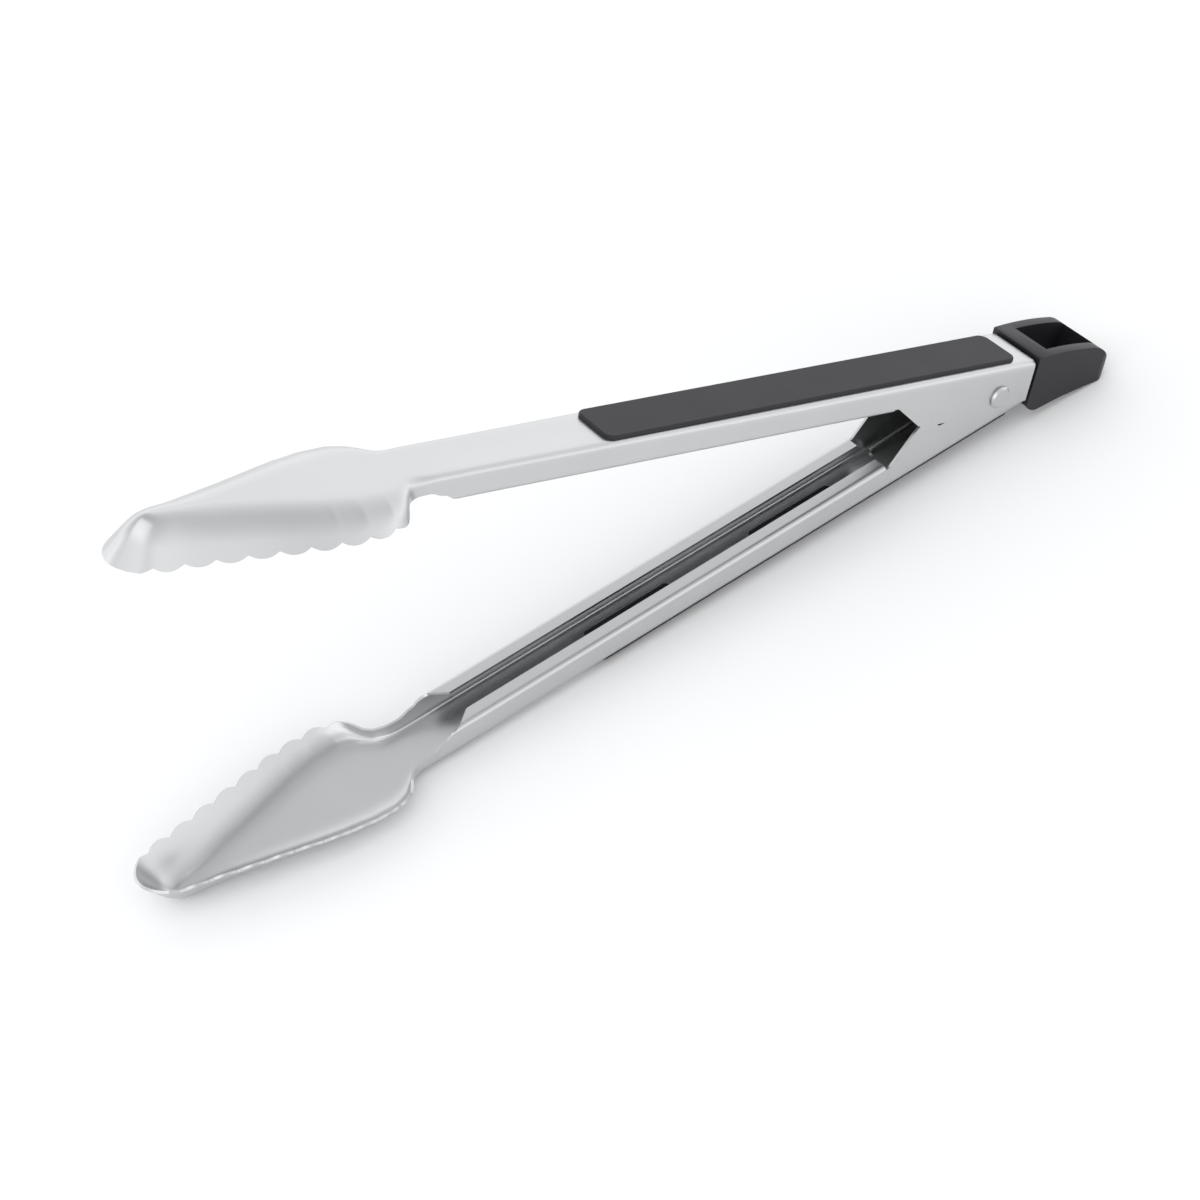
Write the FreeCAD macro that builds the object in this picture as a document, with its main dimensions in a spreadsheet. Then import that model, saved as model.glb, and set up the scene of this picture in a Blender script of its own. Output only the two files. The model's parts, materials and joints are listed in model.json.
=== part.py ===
import FreeCAD, Part
import Sketcher
import math
import os

# Spring loaded kitchen tongs, 16 inch size. Two stamped steel arms turn on one rivet,
# a torsion spring holds them open, and a slide with a pull cap locks them shut.
#
# Every piece is drawn in the frame of the arm that it belongs to: the origin is on the
# rivet's axis, +X runs to the rear, Y is the rivet's axis and +Z points away from that
# arm's own back, towards the other arm. The pieces are then placed as the tongs lie on a
# table: the lower arm on its back, the upper arm swung open above it.

doc = FreeCAD.newDocument("tongs")
V = FreeCAD.Vector

# ---------------------------------------------------------------- driving dimensions (mm)
DIMENSIONS = {
    # the sheet and the channel section of both arms
    "sheet": 1.0,
    "bend": 3.2,
    "arm_width": 22.0,
    "pivot_height": 12.0,
    "lip_height": 10.0,
    "lip_width": 5.95,
    "upper_ear_width": 24.4,
    # stations along the arm, measured from the pivot
    "rear_edge": 15.6,
    "ear_front": -36.5,
    "lip_rear": -52.5,
    "lip_front": -237.0,
    "taper_front": -225.0,
    "lip_mitre": 6.4,
    "neck_x": -249.0,
    "nose_x": -354.6,
    # the ears, heights above the arm's back
    "ear_height": 19.0,
    "ear_rear_height": 16.0,
    "ear_corner": 2.6,
    "relief": 1.4,
    # the head
    "neck_rim": 5.6,
    "shoulder_rim": 7.0,
    "nose_rim": 14.2,
    "wall_rise": 16.0,
    "scallop_depth": 1.4,
    "scallop_pitch": 9.5,
    "scallop_start": -260.0,
    # the grips
    "grip_width": 19.2,
    "grip_front": -179.8,
    "grip_rear": 7.2,
    "grip_thick": 1.4,
    "grip_corner": 3.6,
    "grip_edge": 0.7,
    "anchor_width": 9.6,
    "anchor_length": 37.0,
    "anchor_front": -158.5,
    "anchor_rear": -86.0,
    "anchor_corner": 2.0,
    # the rivet, its sleeve and the torsion spring
    "rivet_radius": 2.5,
    "rivet_fit": 0.06,
    "rivet_head_radius": 4.3,
    "rivet_head": 1.3,
    "rivet_play": 0.1,
    "sleeve_wall": 0.8,
    "sleeve_length": 17.2,
    "wire": 1.8,
    "coil_radius": 4.7,
    "whole_turns": 4,
    "coil_pitch": 1.95,
    "leg_reach": 45.0,
    "spring_gap": 0.3,
    # the lock: slide, cross pin and the hooked slots in the lower arm's ears
    "lock_travel": 10.0,
    "slide_width": 19.6,
    "slide_front": -30.0,
    "slide_tail": 36.0,
    "slide_sheet": 1.0,
    "slide_low": 10.3,
    "slide_high": 4.0,
    "tang_high": 2.6,
    "tang_low": 4.0,
    "seat_fit": 0.05,
    "pin_radius": 1.3,
    "pin_x": -26.5,
    "pin_depth": 3.4,
    "hook_lift": 0.25,
    "pin_length": 21.8,
    "hook_fit": 0.35,
    # the pull cap
    "cap_front": 16.1,
    "cap_rear": 56.0,
    "cap_width": 25.0,
    "cap_top": 13.3,
    "cap_bottom": 8.8,
    "cap_corner": 6.0,
    "cap_hole_front": 23.0,
    "cap_hole_rear": 49.5,
    "cap_hole_width": 16.6,
    "cap_relief": 3.6,
    "cap_relief_width": 22.4,
    # the pose in which the tongs are stored
    "open_angle": 21.8,
    "rest_tilt": 1.335,
}

sizes = doc.addObject("Spreadsheet::Sheet", "Sizes")
for row, (alias, value) in enumerate(DIMENSIONS.items(), start=1):
    sizes.set("A%d" % row, alias)
    sizes.set("B%d" % row, repr(value))
    sizes.setAlias("B%d" % row, alias)
doc.recompute()


def size(alias):
    """A driving dimension, read from the sheet."""
    return float(sizes.get(alias))


# ---------------------------------------------------------------- helpers
def sheet_object(type_name, name, **bindings):
    """A document object whose sizes are bound to cells of the sheet."""
    item = doc.addObject(type_name, name)
    for prop, formula in bindings.items():
        item.setExpression(prop.replace("__", "."), formula)
    return item


def origin_plane(body, role):
    """One of the body's own origin planes."""
    return next(item for item in body.Origin.OriginFeatures if item.Role == role)


def new_body(name):
    return doc.addObject("PartDesign::Body", name)


def new_sketch(body, name, role, offset=None):
    """A sketch on one of the body's origin planes, or lifted off it by a sheet formula."""
    sketch = body.newObject("Sketcher::SketchObject", name)
    sketch.AttachmentSupport = [(origin_plane(body, role), "")]
    sketch.MapMode = "FlatFace"
    if offset:
        sketch.setExpression("AttachmentOffset.Base.z", offset)
    doc.recompute()
    return sketch


def pin_point(sketch, geometry, point, formulas):
    """Hold one point of a sketch at a place that the sheet works out."""
    for kind, formula in zip(("DistanceX", "DistanceY"), formulas):
        value = getattr(sketch.getPoint(geometry, point), "x" if kind == "DistanceX" else "y")
        index = sketch.addConstraint(Sketcher.Constraint(kind, -1, 1, geometry, point, value))
        sketch.setExpression("Constraints[%d]" % index, formula)


def bulge(start, end, radius):
    """An arc of a given radius between two points, to the right of the way from start to end."""
    chord = end - start
    middle = (start + end) * 0.5
    sagitta = abs(radius) - math.sqrt(radius ** 2 - (chord.Length / 2) ** 2)
    outwards = V(chord.y, -chord.x, 0).normalize()
    return Part.Arc(start, middle + outwards * math.copysign(sagitta, radius), end)


def outline(sketch, corners):
    """A closed outline. A corner is a pair of sheet formulas, and a third one gives the
    radius of the arc that follows it; without it a straight line follows."""
    first = sketch.GeometryCount
    places = [V(number(corner[0]), number(corner[1]), 0) for corner in corners]
    ends = []
    for corner, start, end in zip(corners, places, places[1:] + places[:1]):
        if len(corner) == 3:
            index = sketch.addGeometry(bulge(start, end, number(corner[2])))
            held = sketch.addConstraint(Sketcher.Constraint("Radius", index, abs(number(corner[2]))))
            sketch.setExpression("Constraints[%d]" % held, "abs(%s)" % corner[2])
        else:
            index = sketch.addGeometry(Part.LineSegment(start, end))
        same_way = (sketch.getPoint(index, 1) - start).Length < 1e-6
        ends.append((1, 2) if same_way else (2, 1))
    count = len(corners)
    for step, corner in enumerate(corners):
        following = (step + 1) % count
        joint = (first + step, ends[step][1], first + following, ends[following][0])
        sketch.addConstraint(Sketcher.Constraint("Coincident", *joint))
        pin_point(sketch, first + step, ends[step][0], corner[:2])


def rectangle(sketch, left, right, low, high):
    """An upright rectangle between four sheet formulas."""
    outline(sketch, [(left, low), (right, low), (right, high), (left, high)])


def circle(sketch, centre, radius):
    """A circle; its centre is a pair of sheet formulas and its radius is one."""
    place = V(number(centre[0]), number(centre[1]), 0)
    index = sketch.addGeometry(Part.Circle(place, V(0, 0, 1), number(radius)))
    pin_point(sketch, index, 3, centre)
    held = sketch.addConstraint(Sketcher.Constraint("Radius", index, number(radius)))
    sketch.setExpression("Constraints[%d]" % held, radius)


def number(formula):
    """The present value of a sheet formula such as Sizes.sheet * 2."""
    return float(sizes.evalExpression(formula))


def pad(body, name, sketch, length, both_ways=False, reverse=False):
    feature = body.newObject("PartDesign::Pad", name)
    feature.Profile = sketch
    feature.Midplane = both_ways
    feature.Reversed = reverse
    feature.setExpression("Length", length)
    sketch.Visibility = False
    doc.recompute()
    return feature


def pocket(body, name, sketch, length, both_ways=False, reverse=False):
    """Cut a pocket, and stop if it took nothing away."""
    before = body.Shape.Volume
    feature = body.newObject("PartDesign::Pocket", name)
    feature.Profile = sketch
    feature.Midplane = both_ways
    feature.Reversed = reverse
    feature.setExpression("Length", length)
    doc.recompute()
    if body.Shape.Volume > before - 0.01:
        raise RuntimeError(name + " cut nothing")
    return feature


def fillet(body, name, base, radius, wanted):
    """Round the edges of a feature for which wanted(edge) holds."""
    feature = body.newObject("PartDesign::Fillet", name)
    edges = base.Shape.Edges
    feature.Base = (base, ["Edge%d" % (i + 1) for i, edge in enumerate(edges) if wanted(edge)])
    feature.setExpression("Radius", radius)
    doc.recompute()
    return feature


def spans(edge, axis):
    """Whether an edge runs straight along one axis of the body."""
    box = edge.BoundBox
    lengths = {"X": box.XLength, "Y": box.YLength, "Z": box.ZLength}
    longest = lengths.pop(axis)
    return longest > 0.1 and max(lengths.values()) < 1e-6


# ---------------------------------------------------------------- the stamped arms
# The head's plan. Each row is a point on the rim and the point of the floor below it:
# distance behind the nose and half width, first for the rim and then for the floor.
HEAD_PLAN = [
    (97.0, 13.6, 97.0, 12.6),
    (91.5, 21.0, 91.5, 17.2),
    (83.0, 25.0, 83.0, 19.2),
    (73.0, 25.1, 73.0, 18.4),
    (61.0, 23.4, 61.0, 15.8),
    (46.0, 19.9, 46.0, 11.9),
    (31.0, 16.5, 31.0, 8.3),
    (17.0, 13.4, 19.0, 5.6),
    (7.0, 10.6, 12.0, 4.0),
]
FLOOR_NOSE_BACK = 8.5
SHOULDER_BACK = 89.6
SCALLOPS = 9
back = -size("pivot_height")


def rim_height(x):
    """Height of the head's rim above the arm's back: a straight line, shoulder to nose."""
    rise = size("nose_rim") - size("shoulder_rim")
    return size("nose_rim") - rise * (x - size("nose_x")) / SHOULDER_BACK


def head_points(level, inset, z):
    """Points of the head's outline, neck to nose to neck, on the floor (0) or at the top (1)."""
    nose = size("nose_x")
    neck_half = size("arm_width") / 2
    drawn = size("wall_rise")
    side = [(size("lip_front") - 1, neck_half), (size("neck_x"), neck_half)]
    for rim_back, rim_half, floor_back, floor_half in HEAD_PLAN:
        flare = level * drawn / rim_height(nose + rim_back)
        x = nose + floor_back + (rim_back - floor_back) * flare
        side.append((x, floor_half + (rim_half - floor_half) * flare))
    tip_x = nose + FLOOR_NOSE_BACK * (1 - level * drawn / size("nose_rim"))
    left = [V(x, half - inset, z) for x, half in side]
    right = [V(x, inset - half, z) for x, half in reversed(side)]
    tip = V(tip_x + inset, 0, z)
    return left + [tip] + right


def arm_outline(level, inset, z, ear_half, rear):
    """Edges of the arm's outline at one height: both sides, the head and the rear end."""
    points = head_points(level, inset, z)
    curve = Part.BSplineCurve()
    curve.interpolate(Points=points)
    places = [curve.parameter(point) for point in points[1:-1]]
    places = [curve.FirstParameter] + places + [curve.LastParameter]
    head = [curve.toShape(a, b) for a, b in zip(places, places[1:])]
    widened = V(size("lip_rear"), ear_half - inset, z)
    straight = V(size("taper_front"), size("arm_width") / 2 - inset, z)
    left = [V(rear, ear_half - inset, z), widened, straight, points[0]]
    right = [V(point.x, -point.y, z) for point in reversed(left)]
    sides = [Part.makeLine(a, b) for a, b in zip(left, left[1:])]
    others = [Part.makeLine(a, b) for a, b in zip(right, right[1:])]
    return sides + head + others + [Part.makeLine(right[-1], left[0])]


def drawn_pan(inset, floor, ear_half, rear, bend):
    """A solid with the arm's floor, its drawn walls and a rounded bend between them."""
    low = floor
    high = floor + size("wall_rise")
    bottom = arm_outline(0, inset, low, ear_half, rear)
    top = arm_outline(1, inset, high, ear_half, rear)
    walls = [Part.makeRuledSurface(a, b) for a, b in zip(bottom, top)]
    lids = [Part.Face(Part.Wire(bottom)), Part.Face(Part.Wire(top))]
    solid = Part.makeSolid(Part.makeShell(walls + lids))
    if solid.Volume < 0:
        solid.reverse()
    foot = [edge for edge in solid.Edges if lies_at(edge, low) and edge.BoundBox.XLength > 0.5]
    return solid.makeFillet(bend, foot)


def lies_at(edge, z):
    return abs(edge.BoundBox.ZMin - z) < 1e-4 and abs(edge.BoundBox.ZMax - z) < 1e-4


def block(x0, x1, y0, y1, z0, z1):
    return Part.makeBox(x1 - x0, y1 - y0, z1 - z0, V(x0, y0, z0))


def extruded(edges, half_depth):
    """A prism along Y, to both sides of the arm's middle plane, from edges drawn at y = 0."""
    face = Part.Face(Part.Wire(edges))
    face.translate(V(0, -half_depth, 0))
    return face.extrude(V(0, 2 * half_depth, 0))


def lines_through(points):
    return [Part.makeLine(a, b) for a, b in zip(points, points[1:])]


def scallops():
    """The wavy rim: arcs that bulge away from the back and meet in small notches."""
    edges = []
    pitch = size("scallop_pitch")
    start = size("scallop_start")
    depth = size("scallop_depth")
    for step in range(SCALLOPS):
        x = start - step * pitch
        notch = V(x, 0, back + rim_height(x) - depth)
        crest = V(x - pitch / 2, 0, back + rim_height(x - pitch / 2))
        next_notch = V(x - pitch, 0, back + rim_height(x - pitch) - depth)
        edges.append(Part.Arc(notch, crest, next_notch).toShape())
    return edges


def above_edge():
    """Everything above the arm's free edge: ears, lips, neck and scalloped rim."""
    high = back + 60
    rear = size("rear_edge")
    lip = back + size("lip_height")
    ear_front = V(size("ear_front"), 0, back + size("ear_height"))
    ear_rear = V(rear, 0, back + size("ear_rear_height"))
    relief_rear = V(size("lip_rear") + 1.8, 0, lip - size("relief"))
    relief_front = V(size("lip_rear"), 0, lip - size("relief"))
    rounding = size("ear_corner")
    along = (ear_rear - ear_front).normalize()
    down = (relief_rear - ear_front).normalize()
    corner_rear = ear_front + along * rounding
    corner_front = ear_front + down * rounding
    corner_mid = ear_front + (along + down) * (rounding * 0.32)
    ears = [
        Part.makeLine(ear_rear, corner_rear),
        Part.Arc(corner_rear, corner_mid, corner_front).toShape(),
        Part.makeLine(corner_front, relief_rear),
    ]
    lips = lines_through([relief_rear, relief_front, V(relief_front.x, 0, lip)])
    lips += lines_through([V(relief_front.x, 0, lip), V(size("lip_front") - 0.6, 0, lip)])
    wave = scallops()
    first_notch = wave[0].Vertexes[0].Point
    if abs(first_notch.x - size("scallop_start")) > 1e-6:
        first_notch = wave[0].Vertexes[1].Point
    neck = Part.BSplineCurve()
    neck.interpolate(Points=[
        V(size("lip_front") - 0.6, 0, lip),
        V(size("lip_front") - 4.5, 0, lip - 1.6),
        V(size("neck_x"), 0, back + size("neck_rim")),
        first_notch,
    ])
    last_x = size("scallop_start") - SCALLOPS * size("scallop_pitch")
    last_notch = V(last_x, 0, back + rim_height(last_x) - size("scallop_depth"))
    nose_x = size("nose_x")
    nose = lines_through([
        last_notch,
        V(last_x - 3.0, 0, back + rim_height(last_x - 3.0)),
        V(nose_x - 8, 0, back + rim_height(nose_x - 8)),
        V(nose_x - 8, 0, high),
        V(rear + 8, 0, high),
        V(rear + 8, 0, ear_rear.z - 2.2),
        V(rear, 0, ear_rear.z - 1.2),
        V(rear - 1.0, 0, ear_rear.z + 0.02),
    ])
    ears[0] = Part.makeLine(V(rear - 1.0, 0, ear_rear.z + 0.02), corner_rear)
    return extruded(ears + lips + [neck.toShape()] + wave + nose, 45)


def lip_strips(ear_half):
    """The strips of the cavity that the inward-turned lips fill, one on each side."""
    front_half = size("arm_width") / 2
    lip = size("lip_width")
    strips = []
    for side in (1, -1):
        corners = [
            (size("lip_front"), front_half + 1),
            (size("lip_front"), front_half),
            (size("lip_front") + size("lip_mitre"), front_half - lip),
            (size("lip_rear"), ear_half - lip),
            (size("lip_rear"), ear_half + 1),
        ]
        points = [V(x, side * y, back + size("lip_height") - size("sheet")) for x, y in corners]
        face = Part.Face(Part.makePolygon(points + points[:1]))
        strips.append(face.extrude(V(0, 0, 20)))
    return strips


def web_slot(centre_x):
    """A slot through the back, where a grip's anchor comes through."""
    half = size("anchor_length") / 2
    width = size("anchor_width") / 2
    slot = block(centre_x - half, centre_x + half, -width, width, back - 1, back + 3)
    corners = [edge for edge in slot.Edges if edge.BoundBox.ZLength > 3]
    return slot.makeFillet(size("anchor_corner"), corners)


def along_y(radius, x, z, half_length):
    return Part.makeCylinder(radius, 2 * half_length, V(x, -half_length, z), V(0, 1, 0))


def hook_slots():
    """The hooked slots in the lower ears: the cross pin drops in, then slides under the hook."""
    radius = size("pin_radius") + size("hook_fit")
    x = size("pin_x")
    z = size("pin_depth") + size("hook_lift")
    out = x + size("lock_travel")
    swing_room = 1.1
    mouth = block(x - radius, x + radius + swing_room, -20, 20, z, z + 20)
    foot = along_y(radius, x, z, 20)
    bottom = block(x, out, -20, 20, z - radius, z + radius)
    end = along_y(radius, out, z, 20)
    return mouth.fuse([foot, bottom, end])


def arm_shape(ear_half, hooked):
    sheet = size("sheet")
    rear = size("rear_edge")
    outer = drawn_pan(0, back, ear_half, rear, size("bend"))
    cavity = drawn_pan(sheet, back + sheet, ear_half, rear + 10, size("bend") - sheet)
    ears = block(size("lip_rear"), rear, -ear_half, ear_half, back + 12, back + 22)
    room = block(size("lip_rear"), rear + 10, sheet - ear_half, ear_half - sheet, back + 11, back + 30)
    for strip in lip_strips(ear_half):
        cavity = cavity.cut(strip)
    shell = outer.fuse(ears).cut(cavity).cut(room)
    shell = shell.cut(above_edge())
    shell = shell.cut(along_y(size("rivet_radius") + size("rivet_fit"), 0, 0, 30))
    for centre_x in (size("anchor_front"), size("anchor_rear")):
        shell = shell.cut(web_slot(centre_x))
    if hooked:
        shell = shell.cut(hook_slots())
    return shell.removeSplitter()


def add_arm(name, ear_half, hooked):
    arm = doc.addObject("Part::Feature", name)
    arm.Shape = arm_shape(ear_half, hooked)
    return arm


lower_arm = add_arm("lower_arm", size("arm_width") / 2, True)
upper_arm = add_arm("upper_arm", size("upper_ear_width") / 2, False)


# ---------------------------------------------------------------- the grips
def add_grip(name):
    """A soft pad along the arm's back, held by two anchors through the back's slots."""
    body = new_body(name)
    face = new_sketch(body, name + "_face", "XY_Plane", "-Sizes.pivot_height - Sizes.grip_thick")
    rectangle(face, "Sizes.grip_front", "Sizes.grip_rear",
              "-Sizes.grip_width / 2", "Sizes.grip_width / 2")
    slab = pad(body, name + "_slab", face, "Sizes.grip_thick")
    corners = fillet(body, name + "_corners", slab, "Sizes.grip_corner",
                     lambda edge: spans(edge, "Z"))
    outside = -size("pivot_height") - size("grip_thick")
    fillet(body, name + "_edge", corners, "Sizes.grip_edge",
           lambda edge: lies_at(edge, outside))
    anchors = new_sketch(body, name + "_anchors", "XY_Plane", "-Sizes.pivot_height")
    half_width = "(Sizes.anchor_width / 2 - Sizes.seat_fit)"
    half_length = "(Sizes.anchor_length / 2 - Sizes.seat_fit)"
    for centre in ("Sizes.anchor_front", "Sizes.anchor_rear"):
        rectangle(anchors, centre + " - " + half_length, centre + " + " + half_length,
                  "-" + half_width, half_width)
    plugs = pad(body, name + "_plugs", anchors, "Sizes.sheet")
    fillet(body, name + "_plug_corners", plugs, "Sizes.anchor_corner",
           lambda edge: spans(edge, "Z") and edge.BoundBox.ZMax > -size("pivot_height") + 0.1)
    return body


lower_grip = add_grip("lower_grip")
upper_grip = add_grip("upper_grip")

# ---------------------------------------------------------------- rivet and sleeve
pivot_rivet = new_body("pivot_rivet")
rivet_half = new_sketch(pivot_rivet, "rivet_half", "XY_Plane")
inside = "(Sizes.upper_ear_width / 2 + Sizes.rivet_play)"
outside = "(Sizes.upper_ear_width / 2 + Sizes.rivet_play + Sizes.rivet_head)"
outline(rivet_half, [
    ("0", "-" + outside),
    ("Sizes.rivet_head_radius - Sizes.rivet_head / 2", "-" + outside),
    ("Sizes.rivet_head_radius", "Sizes.rivet_head / 2 - " + outside),
    ("Sizes.rivet_head_radius", "-" + inside),
    ("Sizes.rivet_radius", "-" + inside),
    ("Sizes.rivet_radius", inside),
    ("Sizes.rivet_head_radius", inside),
    ("Sizes.rivet_head_radius", outside + " - Sizes.rivet_head / 2"),
    ("Sizes.rivet_head_radius - Sizes.rivet_head / 2", outside),
    ("0", outside),
])
turned = pivot_rivet.newObject("PartDesign::Revolution", "rivet_turned")
turned.Profile = rivet_half
turned.ReferenceAxis = (rivet_half, ["V_Axis"])
turned.Angle = 360
doc.recompute()

pivot_sleeve = new_body("pivot_sleeve")
sleeve_ring = new_sketch(pivot_sleeve, "sleeve_ring", "XZ_Plane")
circle(sleeve_ring, ("0", "0"), "Sizes.rivet_radius + Sizes.rivet_fit")
circle(sleeve_ring, ("0", "0"), "Sizes.rivet_radius + Sizes.rivet_fit + Sizes.sleeve_wall")
pad(pivot_sleeve, "sleeve_tube", sleeve_ring, "Sizes.sleeve_length", both_ways=True)


# ---------------------------------------------------------------- the torsion spring
def spring_shape():
    """One wire: a leg on the lower arm's back, the coil, and a leg to the upper arm's back.

    The legs leave the coil along its own slope, so they drift a little sideways."""
    radius = size("coil_radius")
    pitch = size("coil_pitch")
    depth = size("pivot_height") - size("sheet") - size("wire") / 2 - size("spring_gap")
    tip = V(-size("leg_reach"), 0, -depth)
    start = math.atan2(tip.z, tip.x) + math.acos(radius / tip.Length)
    sweep = 2 * math.pi * size("whole_turns") - 2 * start - math.radians(size("open_angle"))
    half = pitch * sweep / (4 * math.pi)
    leg_length = math.sqrt(tip.Length ** 2 - radius ** 2)

    coil = Part.makeHelix(pitch, 2 * half, radius)
    coil.rotate(V(0, 0, 0), V(1, 0, 0), 90)
    coil.rotate(V(0, 0, 0), V(0, -1, 0), math.degrees(start))
    coil.translate(V(0, half, 0))

    legs = []
    for angle, side in ((start, 1), (start + sweep, -1)):
        touch = V(radius * math.cos(angle), side * half, radius * math.sin(angle))
        along = V(-math.sin(angle), -pitch / (2 * math.pi * radius), math.cos(angle))
        legs.append((touch, touch - along * (leg_length * side)))
    (lower_touch, lower_end), (upper_touch, upper_end) = legs
    path = Part.Wire([Part.makeLine(lower_end, lower_touch)] + coil.Edges
                     + [Part.makeLine(upper_touch, upper_end)])
    round_wire = Part.Circle(lower_end, lower_touch - lower_end, size("wire") / 2).toShape()
    return path.makePipeShell([Part.Wire([round_wire])], True, True)


torsion_spring = doc.addObject("Part::Feature", "torsion_spring")
torsion_spring.Shape = spring_shape()

# ---------------------------------------------------------------- the lock
lock_slide = new_body("lock_slide")
slide_side = new_sketch(lock_slide, "slide_side", "XZ_Plane")
outline(slide_side, [
    ("Sizes.slide_front", "-Sizes.slide_low + Sizes.slide_high"),
    ("-8", "-Sizes.slide_low + Sizes.slide_high"),
    ("-8", "-Sizes.slide_low"),
    ("Sizes.cap_front - 2", "-Sizes.slide_low"),
    ("Sizes.cap_front - 2", "-Sizes.tang_low"),
    ("Sizes.slide_tail", "-Sizes.tang_low"),
    ("Sizes.slide_tail", "Sizes.tang_high"),
    ("7.5", "Sizes.tang_high"),
    ("3.5", "Sizes.slide_high"),
    ("Sizes.slide_front", "Sizes.slide_high"),
])
slide_block = pad(lock_slide, "slide_block", slide_side, "Sizes.slide_width", both_ways=True)
slide_room = new_sketch(lock_slide, "slide_room", "XZ_Plane")
rectangle(slide_room, "Sizes.slide_front - 1", "Sizes.slide_tail + 1",
          "Sizes.slide_sheet - Sizes.slide_low", "Sizes.slide_high + 1")
pocket(lock_slide, "slide_inside", slide_room,
       "Sizes.slide_width - 2 * Sizes.slide_sheet", both_ways=True)
rivet_slot = new_sketch(lock_slide, "rivet_slot", "XZ_Plane")
slot_radius = "(Sizes.rivet_radius + 0.1)"
outline(rivet_slot, [
    ("0", "-" + slot_radius, slot_radius + " * 1.0001"),
    ("0", slot_radius),
    ("-Sizes.lock_travel", slot_radius, slot_radius + " * 1.0001"),
    ("-Sizes.lock_travel", "-" + slot_radius),
])
pocket(lock_slide, "slide_slot", rivet_slot, "Sizes.slide_width + 2", both_ways=True)
pin_hole = new_sketch(lock_slide, "pin_hole", "XZ_Plane")
circle(pin_hole, ("Sizes.pin_x", "-Sizes.pin_depth"), "Sizes.pin_radius + Sizes.seat_fit")
pocket(lock_slide, "slide_pin_hole", pin_hole, "Sizes.slide_width + 2", both_ways=True)

latch_pin = new_body("latch_pin")
pin_round = new_sketch(latch_pin, "pin_round", "XZ_Plane")
circle(pin_round, ("Sizes.pin_x", "-Sizes.pin_depth"), "Sizes.pin_radius")
pad(latch_pin, "pin_rod", pin_round, "Sizes.pin_length", both_ways=True)

# ---------------------------------------------------------------- the pull cap
end_cap = new_body("end_cap")
cap_side = new_sketch(end_cap, "cap_side", "XZ_Plane")
outline(cap_side, [
    ("Sizes.cap_front", "-Sizes.cap_top", "130"),
    ("Sizes.cap_rear - 12", "-Sizes.cap_top - 0.1", "13"),
    ("Sizes.cap_rear", "-3", "5.12"),
    ("Sizes.cap_rear - 2.5", "1.4", "-190"),
    ("Sizes.cap_front + 6", "Sizes.cap_bottom", "6"),
    ("Sizes.cap_front", "Sizes.cap_bottom - 2.4"),
])
pad(end_cap, "cap_block", cap_side, "Sizes.cap_width", both_ways=True)
cap_plan = new_sketch(end_cap, "cap_plan", "XY_Plane")
for side in ("1", "-1"):
    half = side + " * Sizes.cap_width / 2"
    beyond = side + " * (Sizes.cap_width / 2 + 1)"
    inner = side + " * (Sizes.cap_width / 2 - Sizes.cap_corner)"
    outline(cap_plan, [
        ("Sizes.cap_rear + 1 - Sizes.cap_corner", half, side + " * -1.0001 * Sizes.cap_corner"),
        ("Sizes.cap_rear + 1", inner),
        ("Sizes.cap_rear + 2", inner),
        ("Sizes.cap_rear + 2", beyond),
        ("Sizes.cap_rear + 1 - Sizes.cap_corner", beyond),
    ])
pocket(end_cap, "cap_corners", cap_plan, "60", both_ways=True)
cap_front_room = new_sketch(end_cap, "cap_front_room", "XZ_Plane")
rectangle(cap_front_room, "Sizes.cap_front - 5", "Sizes.cap_front + Sizes.cap_relief",
          "Sizes.sheet - Sizes.pivot_height + 0.2", "Sizes.cap_bottom + 5")
pocket(end_cap, "cap_front_pocket", cap_front_room, "Sizes.cap_relief_width", both_ways=True)
cap_hole = new_sketch(end_cap, "cap_hole", "XY_Plane")
rectangle(cap_hole, "Sizes.cap_hole_front", "Sizes.cap_hole_rear",
          "-Sizes.cap_hole_width / 2", "Sizes.cap_hole_width / 2")
pocket(end_cap, "cap_through_hole", cap_hole, "60", both_ways=True)
tang_rooms = new_sketch(end_cap, "tang_rooms", "YZ_Plane")
for side in ("1", "-1"):
    outer_face = side + " * (Sizes.slide_width / 2 + Sizes.seat_fit)"
    inner_face = side + " * (Sizes.slide_width / 2 - Sizes.slide_sheet - Sizes.seat_fit)"
    rectangle(tang_rooms, inner_face, outer_face,
              "-Sizes.tang_low - Sizes.seat_fit", "Sizes.tang_high + Sizes.seat_fit")
pocket(end_cap, "tang_pockets", tang_rooms, "Sizes.slide_tail + Sizes.seat_fit", reverse=True)

# ---------------------------------------------------------------- the pose on the table
LOWER = (lower_arm, lower_grip, pivot_rivet, pivot_sleeve, torsion_spring)
UPPER = (upper_arm, upper_grip)
LOCK = (lock_slide, latch_pin, end_cap)
Y_AXIS = V(0, 1, 0)
tilt = FreeCAD.Placement(V(0, 0, 0), FreeCAD.Rotation(Y_AXIS, -size("rest_tilt")))
opened = FreeCAD.Rotation(Y_AXIS, size("open_angle"))
turned_over = FreeCAD.Rotation(V(1, 0, 0), 180)
swung = FreeCAD.Placement(V(0, 0, 0), opened.multiply(turned_over))


def place(shift):
    """Put every piece in the common frame: X along the tongs, Z up from the table."""
    lower_place = FreeCAD.Placement(shift, FreeCAD.Rotation()).multiply(tilt)
    for piece in LOWER:
        piece.Placement = lower_place
    for piece in UPPER + LOCK:
        piece.Placement = lower_place.multiply(swung)
    return lower_place


def full_box():
    box = FreeCAD.BoundBox()
    for piece in LOWER + UPPER + LOCK:
        box.add(piece.Shape.optimalBoundingBox(False))
    return box


place(V(0, 0, 0))
loose = full_box()
pivot_place = place(V(-loose.Center.x, -loose.Center.y, -loose.ZMin))
doc.recompute()

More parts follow.
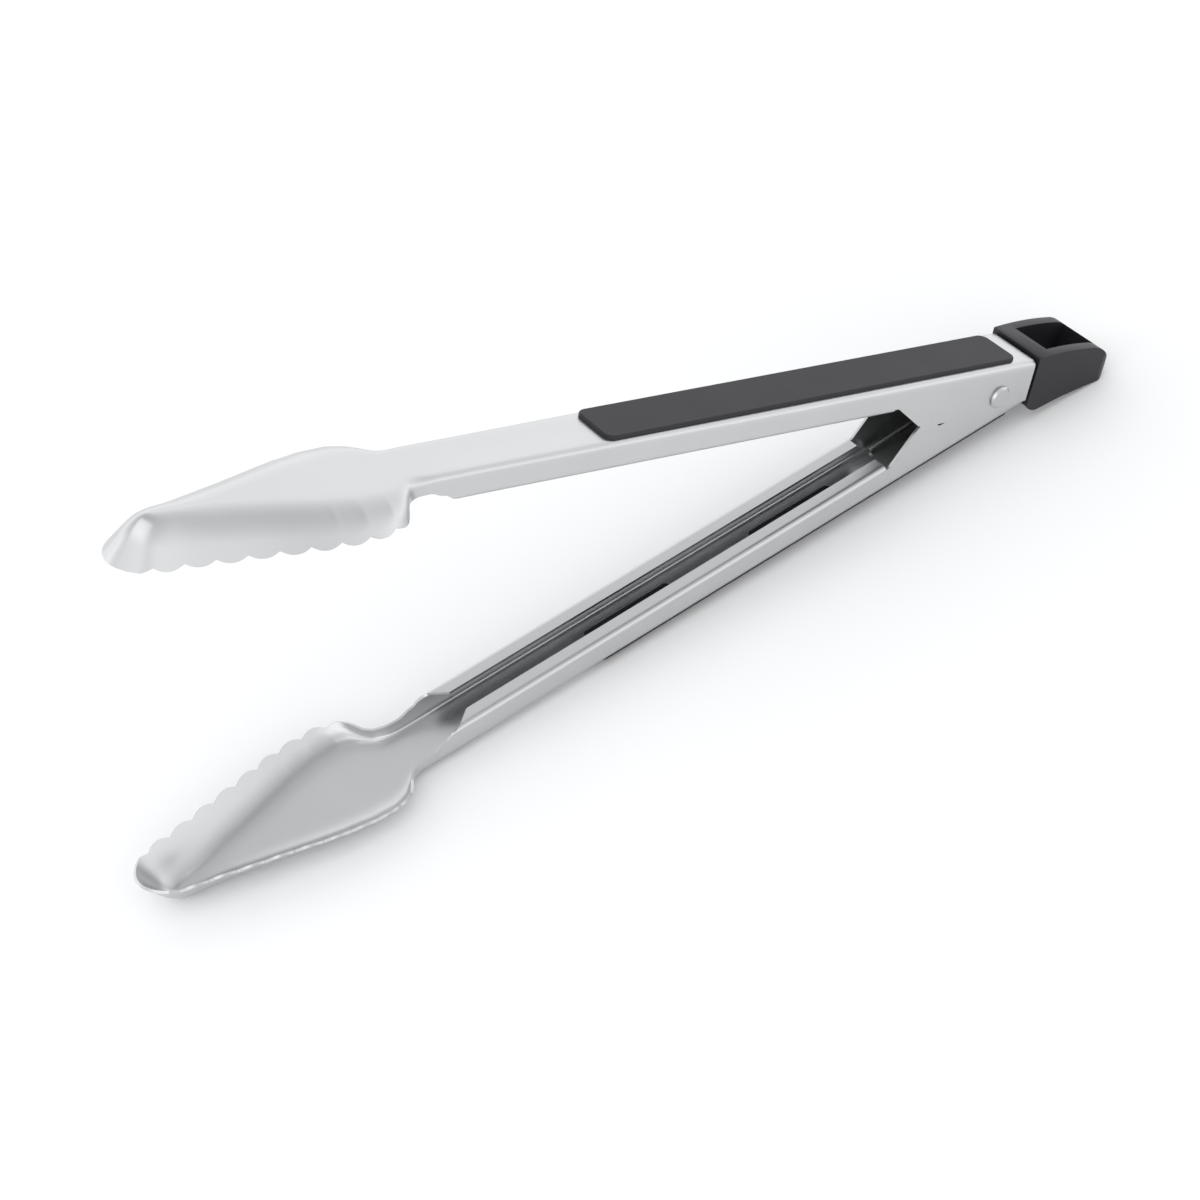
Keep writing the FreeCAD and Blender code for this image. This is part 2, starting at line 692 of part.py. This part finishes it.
# ---------------------------------------------------------------- checks and export
os.makedirs("parts", exist_ok=True)
for item in doc.Objects:
    if "Invalid" in item.State or "Error" in item.State:
        raise RuntimeError(item.Name + " is in state " + str(item.State))
for piece in LOWER + UPPER + LOCK:
    if piece.Shape.isNull() or not piece.Shape.isValid() or len(piece.Shape.Solids) != 1:
        raise RuntimeError(piece.Name + " is not one valid solid")
    piece.Shape.exportStep("parts/%s.step" % piece.Label)

box = full_box()
slide_way = pivot_place.multiply(swung).Rotation.multVec(V(1, 0, 0))
print("box %.2f x %.2f x %.2f mm" % (box.XLength, box.YLength, box.ZLength))
print("pivot", [round(value, 3) for value in pivot_place.Base])
print("slide way", [round(value, 6) for value in slide_way])
for piece in LOWER + UPPER + LOCK:
    own = piece.Shape.optimalBoundingBox(False)
    print(piece.Label, "lowest point %.3f" % own.ZMin, "volume %.1f" % piece.Shape.Volume)
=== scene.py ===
import json
import math

import bmesh
import bpy
import numpy as np
from mathutils import Matrix, Vector


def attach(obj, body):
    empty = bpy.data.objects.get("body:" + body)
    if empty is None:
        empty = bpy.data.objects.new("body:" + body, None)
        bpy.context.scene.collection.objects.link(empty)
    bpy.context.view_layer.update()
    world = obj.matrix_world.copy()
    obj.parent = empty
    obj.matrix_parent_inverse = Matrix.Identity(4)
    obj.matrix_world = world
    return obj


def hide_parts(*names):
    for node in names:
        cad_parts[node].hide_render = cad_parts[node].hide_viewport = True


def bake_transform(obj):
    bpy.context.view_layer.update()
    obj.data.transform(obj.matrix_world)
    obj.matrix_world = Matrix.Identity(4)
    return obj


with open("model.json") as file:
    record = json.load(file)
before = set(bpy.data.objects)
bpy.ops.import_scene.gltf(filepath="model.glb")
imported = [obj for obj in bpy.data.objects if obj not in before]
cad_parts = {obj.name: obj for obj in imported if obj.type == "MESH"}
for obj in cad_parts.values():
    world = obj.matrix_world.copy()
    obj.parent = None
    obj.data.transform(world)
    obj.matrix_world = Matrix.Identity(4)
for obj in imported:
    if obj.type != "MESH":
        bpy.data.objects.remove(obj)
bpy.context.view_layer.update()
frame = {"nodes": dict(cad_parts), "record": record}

MM = 0.001
PIVOT = Vector((0.15044, 0.0, 0.020019))
TILT = math.radians(1.335)
OPEN = math.radians(21.8)
LOWER = Matrix.Translation(PIVOT) @ Matrix.Rotation(-TILT, 4, "Y")
UPPER = LOWER @ Matrix.Rotation(OPEN, 4, "Y") @ Matrix.Rotation(math.pi, 4, "X")


# ---------------------------------------------------------------- materials
class Shader:
    """A material's node tree, with short calls to add and link its nodes."""

    def __init__(self, name):
        self.material = bpy.data.materials.new(name)
        self.material.use_nodes = True
        self.tree = self.material.node_tree
        self.shader = self.tree.nodes["Principled BSDF"]

    def node(self, kind, **values):
        node = self.tree.nodes.new(kind)
        for name, value in values.items():
            if hasattr(node, name):
                setattr(node, name, value)
            else:
                node.inputs[name.replace("_", " ")].default_value = value
        return node

    def link(self, source, target):
        self.tree.links.new(source, target)

    def ramp(self, factor, low, high, start=0.0, end=1.0):
        """Map a factor to a grey or a colour between two values."""
        node = self.node("ShaderNodeMapRange")
        node.inputs["From Min"].default_value = start
        node.inputs["From Max"].default_value = end
        node.inputs["To Min"].default_value = low
        node.inputs["To Max"].default_value = high
        self.link(factor, node.inputs["Value"])
        return node.outputs["Result"]

    def mix(self, factor, first, second):
        node = self.node("ShaderNodeMix", data_type="RGBA")
        node.inputs[6].default_value = first
        node.inputs[7].default_value = second
        self.link(factor, node.inputs[0])
        return node.outputs[2]


def grey(value, tint=(1.0, 1.0, 1.0)):
    return tuple(value * part for part in tint) + (1.0,)


def steel(name, dark, light, rough, grain=(4.0, 900.0, 900.0)):
    """Satin steel: fine grain, drawn out along X on sheet, and soft clouds of shade and gloss."""
    s = Shader(name)
    s.shader.inputs["Metallic"].default_value = 1.0
    s.shader.inputs["Anisotropic"].default_value = 0.1
    place = s.node("ShaderNodeTexCoord")
    stretch = s.node("ShaderNodeMapping")
    stretch.inputs["Scale"].default_value = grain
    s.link(place.outputs["Object"], stretch.inputs["Vector"])
    lines = s.node("ShaderNodeTexNoise", Scale=3.0, Detail=6.0, Roughness=0.65)
    s.link(stretch.outputs["Vector"], lines.inputs["Vector"])
    clouds = s.node("ShaderNodeTexNoise", Scale=28.0, Detail=3.0)
    s.link(place.outputs["Object"], clouds.inputs["Vector"])
    tint = (0.985, 0.995, 1.0)
    s.link(s.mix(clouds.outputs["Fac"], grey(dark, tint), grey(light, tint)),
           s.shader.inputs["Base Color"])
    roughness = s.node("ShaderNodeMath", operation="ADD")
    s.link(s.ramp(lines.outputs["Fac"], rough - 0.02, rough + 0.02, 0.3, 0.7), roughness.inputs[0])
    s.link(s.ramp(clouds.outputs["Fac"], -0.015, 0.015), roughness.inputs[1])
    s.link(roughness.outputs["Value"], s.shader.inputs["Roughness"])
    bump = s.node("ShaderNodeBump", Strength=0.012)
    bump.inputs["Distance"].default_value = 0.00005
    s.link(lines.outputs["Fac"], bump.inputs["Height"])
    s.link(bump.outputs["Normal"], s.shader.inputs["Normal"])
    return s.material


def soft_black(name, dark, light, rough, grain, depth):
    """A dark moulding: fine surface grain, with uneven shade and gloss."""
    s = Shader(name)
    place = s.node("ShaderNodeTexCoord")
    fine = s.node("ShaderNodeTexNoise", Scale=grain, Detail=4.0, Roughness=0.7)
    s.link(place.outputs["Object"], fine.inputs["Vector"])
    clouds = s.node("ShaderNodeTexNoise", Scale=45.0, Detail=3.0)
    s.link(place.outputs["Object"], clouds.inputs["Vector"])
    s.link(s.mix(clouds.outputs["Fac"], dark, light), s.shader.inputs["Base Color"])
    s.link(s.ramp(clouds.outputs["Fac"], rough - 0.06, rough + 0.06), s.shader.inputs["Roughness"])
    s.shader.inputs["Specular IOR Level"].default_value = 0.3
    bump = s.node("ShaderNodeBump", Strength=0.25)
    bump.inputs["Distance"].default_value = depth
    s.link(fine.outputs["Fac"], bump.inputs["Height"])
    s.link(bump.outputs["Normal"], s.shader.inputs["Normal"])
    return s.material


MATERIALS = {
    "steel": steel("satin steel", 0.55, 0.60, 0.31),
    "inner_steel": steel("rolled steel", 0.36, 0.42, 0.36),
    "rivet_steel": steel("turned steel", 0.52, 0.58, 0.24, grain=(600.0, 600.0, 600.0)),
    "spring_wire": steel("spring wire", 0.52, 0.60, 0.16, grain=(700.0, 700.0, 700.0)),
    "grip_rubber": soft_black("grip rubber", (0.015, 0.0145, 0.018, 1), (0.021, 0.020, 0.024, 1),
                              0.50, 2600.0, 0.00003),
    "cap_plastic": soft_black("cap plastic", (0.013, 0.0125, 0.015, 1), (0.018, 0.0175, 0.021, 1),
                              0.38, 2200.0, 0.00002),
}
SLOTS = {row["node"]: row["material_slot"] for row in frame["record"]["subparts"]}
for name, node in frame["nodes"].items():
    node.data.materials.clear()
    node.data.materials.append(MATERIALS[SLOTS[name]])


# ---------------------------------------------------------------- rounded edges
def round_edges(piece, width, angle, segments):
    """Round a piece's edges that are sharper than an angle, by a modifier."""
    bevel = piece.modifiers.new("round edges", "BEVEL")
    bevel.width = width
    bevel.segments = segments
    bevel.limit_method = "ANGLE"
    bevel.angle_limit = math.radians(angle)
    return bevel


cap = frame["nodes"]["end_cap"]
weld = cap.modifiers.new("weld", "WELD")
weld.merge_threshold = 0.000005
cap_bevel = round_edges(cap, 0.0009, 40, 3)
cap_bevel.use_clamp_overlap = True


# ---------------------------------------------------------------- the stamped arms, with soft bends
# All in millimetres in an arm's own frame: the origin on the rivet's axis, +X to the rear,
# +Z away from the arm's back, the back's outer face at z = BACK. Heights are above that face.
BACK = -12.0
SHEET = 0.97            # a little thin, so that the grips' anchors stand just proud of the inside
FRONT_HALF = 11.0
LOWER_EAR_HALF = 11.0
UPPER_EAR_HALF = 12.2
WIDENING_FRONT = -225.0
REAR = 14.9
BEND = 2.8

# the head
NOSE_X = -354.6
NOSE_RIM = 14.2
SHOULDER_RIM = 7.0
SHOULDER_BACK = 89.6
HEAD_REACH = 7.5        # how far the soft bend reaches into the head's floor and wall
HEAD_SOFT_FROM = -246.0
HEAD_SOFT_TO = -272.0
UPRIGHT_FROM = -249.0
UPRIGHT_TO = -262.0
UPRIGHT_PULL = 0.6      # turns a wall that has almost no run square to the channel
FLOOR_SHARE = 0.85
WALL_SHARE = 0.7
# distance behind the nose and half width of the rim, then of the line where wall and floor meet
HEAD_PLAN = ((97.0, 13.6, 97.0, 12.6), (91.5, 21.0, 91.5, 17.2), (83.0, 25.0, 83.0, 19.2),
             (73.0, 25.1, 73.0, 18.4), (61.0, 23.4, 61.0, 15.8), (46.0, 19.9, 46.0, 11.9),
             (31.0, 16.5, 31.0, 8.3), (17.0, 13.4, 19.0, 5.6), (7.0, 10.6, 12.0, 4.0))
FLOOR_NOSE_BACK = 8.5

# the scallops along the rim
SCALLOP_START = -260.0
SCALLOP_PITCH = 9.5
SCALLOP_DEPTH = 1.4
SCALLOPS = 9
SCALLOP_RUN_OUT = 3.0

# the lips turned in over the channel
LIP_FRONT = -237.0
LIP_REAR = -52.5
LIP_MITRE = 6.4
LIP_HEIGHT = 10.0
LIP_WIDTH = 5.95
LIP_BEND = 1.6
WALL_TOP = LIP_HEIGHT - LIP_BEND
LIP_REACH_FRONT = -243.0

# the ears
EAR_RELIEF = 8.6
RELIEF_REAR = -50.7
EAR_SHOULDER = -36.5
EAR_TOP = 19.0
EAR_FALL = 3.0 / 52.1
EAR_ROUND = 1.1

# the hooked slots for the latch pin in the lower arm's ears
PIN_RADIUS = 1.3
PIN_X = -26.5
PIN_Z = 3.65
HOOK_FIT = 0.35
SWING_ROOM = 1.1
LOCK_TRAVEL = 10.0
SLOT_TOP = 12.0
CUTTER_HALF = 20.0
QUARTER_STEPS = 8

# how finely the sheet is divided
STATION_STEP = 0.55
FLOOR_ROWS = 4
BEND_ROWS = 9
WALL_ROWS = 8
LIP_ROWS = 9


def smooth(low, high, value):
    """Ease from 0 at low to 1 at high."""
    part = min(max((value - low) / (high - low), 0.0), 1.0)
    return part * part * (3.0 - 2.0 * part)


def natural_spline(points):
    """A natural cubic spline through points, by chord length: (places, function of place)."""
    values = np.array(points, float)
    count = len(values)
    steps = np.linalg.norm(np.diff(values, axis=0), axis=1)
    places = np.concatenate([[0.0], np.cumsum(steps)])
    system = np.eye(count)
    right = np.zeros_like(values)
    for i in range(1, count - 1):
        system[i, i - 1:i + 2] = steps[i - 1], 2 * (steps[i - 1] + steps[i]), steps[i]
        slopes = (values[i + 1] - values[i]) / steps[i] - (values[i] - values[i - 1]) / steps[i - 1]
        right[i] = 6 * slopes
    bends = np.linalg.solve(system, right)

    def at(place):
        i = min(max(int(np.searchsorted(places, place)) - 1, 0), count - 2)
        before, after, step = places[i + 1] - place, place - places[i], steps[i]
        return ((bends[i] * before ** 3 + bends[i + 1] * after ** 3) / (6 * step)
                + (values[i] / step - bends[i] * step / 6) * before
                + (values[i + 1] / step - bends[i + 1] * step / 6) * after)

    return places, at


def plain_rim(x):
    """Height of the head's rim above the back, without the scallops."""
    return NOSE_RIM - (NOSE_RIM - SHOULDER_RIM) * (x - NOSE_X) / SHOULDER_BACK


# places and heights of the free edge from the first scallop to the lips
NECK_EDGE = ((SCALLOP_START, plain_rim(SCALLOP_START) - SCALLOP_DEPTH), (-254.5, 5.5),
             (-249.0, 5.6), (-243.5, 7.2), (-238.6, 9.4), (LIP_FRONT, LIP_HEIGHT))


def neck_edge(x):
    """Height of the free edge between the first scallop and the lips."""
    for (front, low), (rear, high) in zip(NECK_EDGE, NECK_EDGE[1:]):
        if x <= rear:
            break
    return low + (high - low) * smooth(front, rear, x)


def head_edge(x):
    """Height of the head's free edge, scalloped from the neck towards the nose."""
    if x >= SCALLOP_START:
        return neck_edge(x)
    ahead = (SCALLOP_START - x) / SCALLOP_PITCH
    if ahead < SCALLOPS:
        wave = 1.0 - (2.0 * (ahead % 1.0) - 1.0) ** 2
    else:
        wave = min((ahead - SCALLOPS) * SCALLOP_PITCH / SCALLOP_RUN_OUT, 1.0)
    return plain_rim(x) - SCALLOP_DEPTH * (1.0 - wave)


def ear_edge(x):
    """Height of the ear's edge: relief notch, slanted shoulder, rounded corner, long top."""
    top = EAR_TOP - EAR_FALL * (x - EAR_SHOULDER)
    rise = (EAR_TOP - EAR_RELIEF) / (EAR_SHOULDER - RELIEF_REAR)
    shoulder = EAR_RELIEF + (x - RELIEF_REAR) * rise
    height = min(max(shoulder, EAR_RELIEF), top)
    apart = abs(shoulder - top)
    if apart >= 2.4:
        return height
    return height - max(0.0, EAR_ROUND - 0.5 * math.hypot(apart, 1.4))


def head_stations():
    """Pairs of plan points (foot of the wall, rim) from the neck round to the nose's tip."""
    feet = [(LIP_FRONT - 1, FRONT_HALF), (UPRIGHT_FROM, FRONT_HALF)]
    rims = list(feet)
    for rim_back, rim_half, foot_back, foot_half in HEAD_PLAN:
        rims.append((NOSE_X + rim_back, rim_half))
        feet.append((NOSE_X + foot_back, foot_half))
    rims.append((NOSE_X, 0.0))
    feet.append((NOSE_X + FLOOR_NOSE_BACK, 0.0))
    foot_places, foot_at = natural_spline(feet + [(x, -y) for x, y in reversed(feet[:-1])])
    rim_places, rim_at = natural_spline(rims + [(x, -y) for x, y in reversed(rims[:-1])])
    stations = []
    for span in range(len(feet) - 1):
        length = rim_places[span + 1] - rim_places[span]
        pieces = max(2, round(length / STATION_STEP))
        for step in range(pieces):
            part = step / pieces
            foot = foot_at(foot_places[span] + part * (foot_places[span + 1] - foot_places[span]))
            rim = rim_at(rim_places[span] + part * length)
            stations.append((foot, rim))
    stations.append((np.array(feet[-1]), np.array(rims[-1])))
    return stations


def channel_half(x, ear_half):
    """Half width of the channel: straight at the front, wider towards the ears."""
    part = min(max((x - WIDENING_FRONT) / (LIP_REAR - WIDENING_FRONT), 0.0), 1.0)
    return FRONT_HALF + (ear_half - FRONT_HALF) * part


def channel_places():
    """Stations along the channel from the rear end to the neck, close together at corners."""
    ears = np.arange(REAR, -34.0, -3.3)
    shoulders = np.arange(-34.2, LIP_REAR, -0.45)
    lips = np.arange(LIP_REAR - 0.02, -226.0, -8.5)
    front = np.arange(-227.0, LIP_FRONT - 0.8, -0.5)
    return np.concatenate([ears, shoulders, lips, front])


def wall_lean(foot, rim):
    """Unit vector out of the arm and the wall's slope; in the channel the wall is upright."""
    upright = smooth(UPRIGHT_TO, UPRIGHT_FROM, foot[0])
    outward = rim - foot + np.array((0.0, UPRIGHT_PULL)) * upright
    outward = outward / np.linalg.norm(outward)
    run = max(float((rim - foot) @ outward), 0.0)
    return outward, math.atan2(max(plain_rim(rim[0]), SHOULDER_RIM), run * (1 - upright))


def wall_profile(foot, rim, floor_reach, wall_reach, edge):
    """Points (x, y, z) from the middle of the floor, round the bend, up to the free edge."""
    outward, slope = wall_lean(foot, rim)
    start = foot - outward * floor_reach
    end = foot + outward * (wall_reach * math.cos(slope))
    points = [(start[0], start[1] * k / FLOOR_ROWS, 0.0) for k in range(FLOOR_ROWS)]
    for k in range(BEND_ROWS + 1):
        part = k / BEND_ROWS
        place = start * (1 - part) ** 2 + foot * (2 * part * (1 - part)) + end * part ** 2
        points.append((place[0], place[1], wall_reach * math.sin(slope) * part ** 2))
    last = points[-1][2]
    for k in range(1, WALL_ROWS + 1):
        height = last + (edge - last) * k / WALL_ROWS
        place = foot + outward * (height / math.tan(slope))
        points.append((place[0], place[1], height))
    return [(x, y, BACK + z) for x, y, z in points]


def lip_profile(x, half, length):
    """Points of the lip from the top of the wall inwards, as long as it is at this station."""
    quarter = LIP_BEND * math.pi / 2
    points = []
    for k in range(LIP_ROWS + 1):
        gone = length * k / LIP_ROWS
        if gone <= quarter:
            turn = gone / LIP_BEND
            points.append((half - LIP_BEND * (1 - math.cos(turn)),
                           WALL_TOP + LIP_BEND * math.sin(turn)))
        else:
            points.append((half - LIP_BEND - (gone - quarter), LIP_HEIGHT))
    return [(x, y, BACK + z) for y, z in points]


def lip_length(x):
    """How far the lip runs from the wall's top: a slanted cut in front, then its full width."""
    full = LIP_BEND * math.pi / 2 + LIP_WIDTH - LIP_BEND
    if x <= LIP_FRONT:
        return max(0.0, neck_edge(x) - WALL_TOP)
    return min(full, LIP_BEND + (full - LIP_BEND) * (x - LIP_FRONT) / LIP_MITRE)


def grid_faces(rows, mesh, cache):
    """Quads between neighbouring rows of points; points at the same place are shared."""
    def vertex(point):
        key = tuple(round(value, 4) for value in point)
        if key not in cache:
            cache[key] = mesh.verts.new(point)
        return cache[key]

    for first, second in zip(rows, rows[1:]):
        for k in range(len(first) - 1):
            corners = [vertex(p) for p in (first[k], first[k + 1], second[k + 1], second[k])]
            ring = list(dict.fromkeys(corners))
            if len(ring) > 2 and not mesh.faces.get(ring):
                mesh.faces.new(ring)


def channel_rows(ear_half):
    """Rows of points across the walls and the lips, from the rear end to the neck."""
    walls, lips = [], []
    for x in channel_places():
        half = channel_half(x, ear_half)
        edge = ear_edge(x) if x > LIP_REAR else WALL_TOP
        if x <= LIP_FRONT:
            edge = min(neck_edge(x), edge)
        place = np.array((x, half))
        walls.append(wall_profile(place, place, BEND, min(BEND, WALL_SHARE * edge), edge))
        if x <= LIP_REAR:
            lips.append(lip_profile(x, half, lip_length(x)))
    return walls, lips


def head_rows():
    """Rows of points across the head's wall, and the lips' last ones, from neck to nose."""
    walls, lips = [], []
    for foot, rim in head_stations():
        outward, slope = wall_lean(foot, rim)
        if outward[1] > 0.05:
            room = foot[1] / outward[1]
        reach = BEND + (HEAD_REACH - BEND) * (1 - smooth(HEAD_SOFT_TO, HEAD_SOFT_FROM, foot[0]))
        edge = head_edge(rim[0])
        if rim[0] > LIP_REACH_FRONT:
            edge = min(edge, WALL_TOP)
            lips.append(lip_profile(rim[0], foot[1], lip_length(rim[0])))
        walls.append(wall_profile(foot, rim, min(reach, FLOOR_SHARE * room),
                                  min(reach, WALL_SHARE * edge / math.sin(slope)), edge))
    return walls, lips


def arm_mesh(ear_half):
    """The arm's outer surface, both sides, as one open sheet."""
    channel_walls, channel_lips = channel_rows(ear_half)
    head_walls, head_lips = head_rows()
    mesh = bmesh.new()
    cache = {}
    for side in (1, -1):
        for rows in (channel_walls + head_walls, channel_lips + head_lips):
            grid_faces([[(x, side * y, z) for x, y, z in row] for row in rows], mesh, cache)
    bmesh.ops.dissolve_degenerate(mesh, dist=0.02, edges=mesh.edges)
    bmesh.ops.recalc_face_normals(mesh, faces=mesh.faces)
    return mesh


def placed_mesh(name, mesh, matrix):
    """Turn a mesh in an arm's millimetres into one in the scene's metres."""
    data = bpy.data.meshes.new(name)
    mesh.to_mesh(data)
    mesh.free()
    data.transform(matrix @ Matrix.Scale(MM, 4))
    return data


def hook_cutter(matrix):
    """A prism across both ears in the outline of the hooked slot: a mouth, then a foot to the rear."""
    radius = PIN_RADIUS + HOOK_FIT
    out = PIN_X + LOCK_TRAVEL
    side = PIN_X + radius + SWING_ROOM
    outline = [(side, SLOT_TOP), (PIN_X - radius, SLOT_TOP)]
    for k in range(QUARTER_STEPS + 1):
        turn = math.pi * (1 + k / (2 * QUARTER_STEPS))
        outline.append((PIN_X + radius * math.cos(turn), PIN_Z + radius * math.sin(turn)))
    for k in range(2 * QUARTER_STEPS + 1):
        turn = math.pi * (k / (2 * QUARTER_STEPS) - 0.5)
        outline.append((out + radius * math.cos(turn), PIN_Z + radius * math.sin(turn)))
    outline.append((side, PIN_Z + radius))
    mesh = bmesh.new()
    face = mesh.faces.new([mesh.verts.new((x, -CUTTER_HALF, z)) for x, z in outline])
    grown = bmesh.ops.extrude_face_region(mesh, geom=[face])
    moved = [item for item in grown["geom"] if isinstance(item, bmesh.types.BMVert)]
    bmesh.ops.translate(mesh, verts=moved, vec=(0.0, 2 * CUTTER_HALF, 0.0))
    bmesh.ops.recalc_face_normals(mesh, faces=mesh.faces)
    return bpy.data.objects.new("hook_cutter", placed_mesh("hook_cutter", mesh, matrix))


def add_arm(name, node, body, matrix, ear_half, hooked):
    """Give one arm's sheet its thickness and soft edges, and put it in place of its node."""
    mesh = arm_mesh(ear_half)
    on_back = Vector((-150.0, 1.0, BACK))
    middle = min(mesh.faces, key=lambda face: (face.calc_center_median() - on_back).length)
    middle.normal_update()
    if middle.normal.z > 0:
        bmesh.ops.reverse_faces(mesh, faces=mesh.faces)
    data = placed_mesh(name, mesh, matrix)
    data.materials.append(MATERIALS["steel"])
    arm = bpy.data.objects.new(name, data)
    bpy.context.scene.collection.objects.link(arm)
    solid = arm.modifiers.new("sheet", "SOLIDIFY")
    solid.thickness = SHEET * MM
    solid.offset = -1.0
    if hooked:
        cutter = hook_cutter(matrix)
        bpy.context.scene.collection.objects.link(cutter)
        slots = arm.modifiers.new("hooked slots", "BOOLEAN")
        slots.operation = "DIFFERENCE"
        slots.solver = "EXACT"
        slots.object = cutter
    edge_bevel = round_edges(arm, 0.00018, 50, 2)
    edge_bevel.harden_normals = True
    for face in data.polygons:
        face.use_smooth = True
    if hooked:
        view = bpy.context.evaluated_depsgraph_get()
        arm.data = bpy.data.meshes.new_from_object(arm.evaluated_get(view))
        arm.modifiers.clear()
        bpy.data.objects.remove(cutter)
    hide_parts(node)
    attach(arm, body)


add_arm("lower_sheet", "lower_arm", "lower_arm", LOWER, LOWER_EAR_HALF, True)
add_arm("upper_sheet", "upper_arm", "upper_arm", UPPER, UPPER_EAR_HALF, False)

# ---------------------------------------------------------------- the spring, a fixed copy of its node's coil
coil = frame["nodes"]["torsion_spring"]
wire = bpy.data.objects.new("spring_coil", coil.data.copy())
wire.matrix_world = coil.matrix_world.copy()
bpy.context.scene.collection.objects.link(wire)
wire.data.transform(wire.matrix_world)
wire.matrix_world = Matrix.Identity(4)
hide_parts("torsion_spring")
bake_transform(wire)


# ---------------------------------------------------------------- floor, light and camera
def flat_material(name, colour, rough):
    """A pale matt surface with a hardly visible unevenness."""
    s = Shader(name)
    place = s.node("ShaderNodeTexCoord")
    clouds = s.node("ShaderNodeTexNoise", Scale=3.0, Detail=2.0)
    s.link(place.outputs["Object"], clouds.inputs["Vector"])
    low = tuple(part * 0.99 for part in colour[:3]) + (1.0,)
    s.link(s.mix(clouds.outputs["Fac"], low, colour), s.shader.inputs["Base Color"])
    s.shader.inputs["Roughness"].default_value = rough
    return s.material


bpy.ops.mesh.primitive_plane_add(size=8.0, location=(0.0, 0.0, 0.0))
floor = bpy.context.object
floor.name = "floor"
floor.data.materials.append(flat_material("pale floor", (0.94, 0.94, 0.94, 1.0), 0.7))


def area_light(name, place, target, size, power):
    """Add a soft light that points from its place at a target."""
    data = bpy.data.lights.new(name, "AREA")
    data.shape = "RECTANGLE"
    data.size, data.size_y = size
    data.energy = power
    light = bpy.data.objects.new(name, data)
    light.location = place
    direction = Vector(target) - Vector(place)
    light.rotation_euler = direction.to_track_quat("-Z", "Y").to_euler()
    bpy.context.scene.collection.objects.link(light)


area_light("key", (-0.5, -0.2, 1.4), (0.0, 0.0, 0.05), (1.2, 1.2), 4.0)
area_light("left", (-1.4, 0.7, 0.5), (0.0, 0.0, 0.05), (1.0, 0.7), 2.0)
area_light("front", (-0.6, -1.4, 0.6), (0.0, 0.0, 0.05), (1.4, 0.7), 1.5)

# the studio's walls are brighter than its ceiling
world = bpy.data.worlds.new("studio")
bpy.context.scene.world = world
world.use_nodes = True
background = world.node_tree.nodes["Background"]
background.inputs["Color"].default_value = (0.98, 0.99, 1.0, 1.0)
direction = world.node_tree.nodes.new("ShaderNodeTexCoord")
height = world.node_tree.nodes.new("ShaderNodeSeparateXYZ")
fade = world.node_tree.nodes.new("ShaderNodeMapRange")
fade.inputs["To Min"].default_value = 1.65
fade.inputs["To Max"].default_value = 0.62
world.node_tree.links.new(direction.outputs["Generated"], height.inputs["Vector"])
world.node_tree.links.new(height.outputs["Z"], fade.inputs["Value"])
world.node_tree.links.new(fade.outputs["Result"], background.inputs["Strength"])

camera_data = bpy.data.cameras.new("camera")
camera_data.sensor_width = 36.0
camera_data.lens = 84.349
camera = bpy.data.objects.new("camera", camera_data)
camera.location = (-0.371026, -0.600990, 0.681315)
camera.rotation_euler = (math.radians(46.1721), math.radians(5.9979), math.radians(-36.0298))
bpy.context.scene.collection.objects.link(camera)
bpy.context.scene.camera = camera
bpy.context.scene.view_settings.view_transform = "Standard"

bpy.context.view_layer.update()
